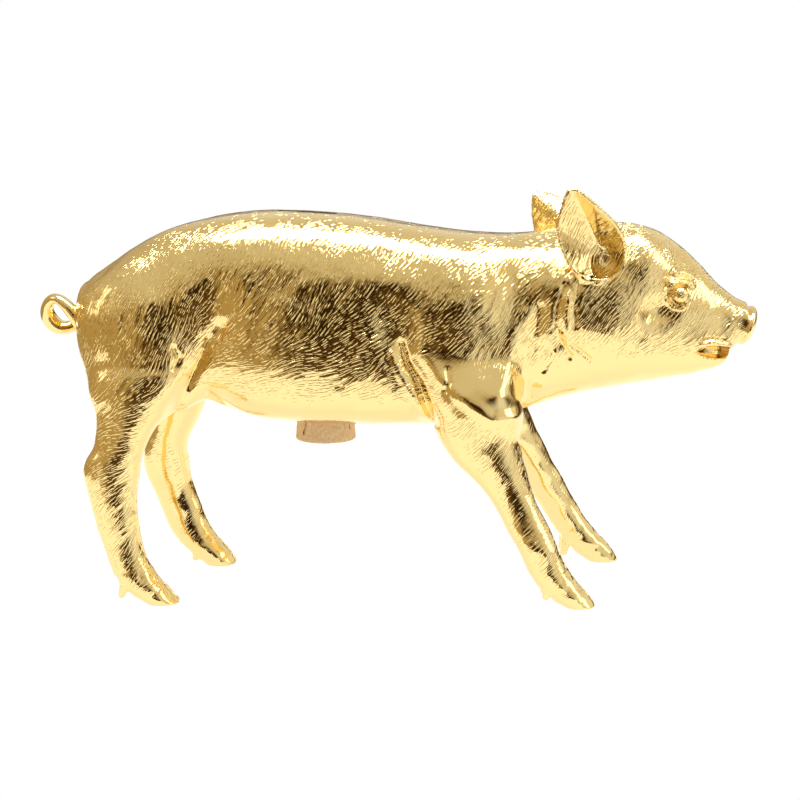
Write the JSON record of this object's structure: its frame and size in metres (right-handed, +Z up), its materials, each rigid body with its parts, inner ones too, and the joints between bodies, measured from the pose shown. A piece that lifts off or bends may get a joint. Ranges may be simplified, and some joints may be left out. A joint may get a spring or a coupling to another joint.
{
  "type": "coin bank",
  "caption": "Life-size piglet figure coin bank: hollow gold-plated shell with a coin slot along the spine and a cork stopper in the belly.",
  "frame": {"origin": "on the ground under the middle of the piglet's length and width", "axes": "+X towards the snout, +Y towards the piglet's left side, +Z up"},
  "size_m": [0.4574, 0.1332, 0.2583],
  "materials": {
    "gold_plating": "mirror-bright gold plating over cast resin",
    "natural_cork": "bare natural cork",
    "steel": "plain drawn steel"
  },
  "bodies": {
    "bank": {"shell_right": "gold_plating", "shell_left": "gold_plating", "leg_front_right": "gold_plating", "leg_front_left": "gold_plating", "leg_rear_right": "gold_plating", "leg_rear_left": "gold_plating", "ear_right": "gold_plating", "ear_left": "gold_plating", "tail": "gold_plating", "dowel_front_right": "steel", "dowel_front_left": "steel", "dowel_rear_right": "steel", "dowel_rear_left": "steel"},
    "cork": {"cork_stopper": "natural_cork"}
  },
  "joints": [
    {"name": "cork_slide", "type": "slide", "parent": "bank", "child": "cork", "axis": [0, 0, -1], "range_m": [0, 0.045]}
  ]
}
